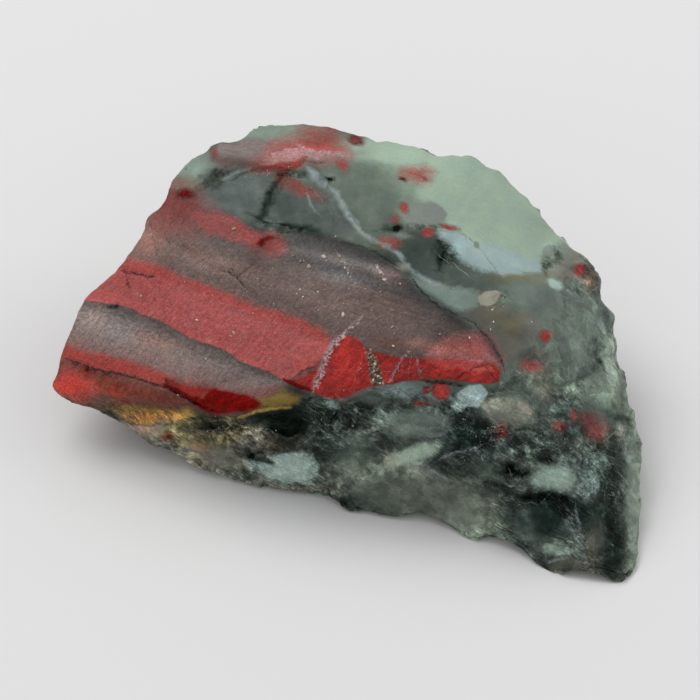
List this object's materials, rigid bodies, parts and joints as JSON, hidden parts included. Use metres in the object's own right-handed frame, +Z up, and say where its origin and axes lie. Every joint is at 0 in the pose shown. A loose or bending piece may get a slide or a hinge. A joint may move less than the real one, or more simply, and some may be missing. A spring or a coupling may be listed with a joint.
{
  "type": "raw bloodstone",
  "caption": "Raw broken lump of red, grey and green jasper with flat and shell-shaped break faces, resting on a flat underside for display.",
  "frame": {"origin": "on the resting plane, under the middle of the stone's bounding box", "axes": "+X along the stone's longest way, from its pointed tip towards its thick end; +Y away from the broad banded face's low front edge; +Z up from the flat underside"},
  "size_m": [0.0584, 0.0444, 0.0239],
  "materials": {
    "jasper": "dull waxy break, red and grey bands on green"
  },
  "bodies": {
    "root": {"bloodstone": "jasper"}
  },
  "joints": []
}
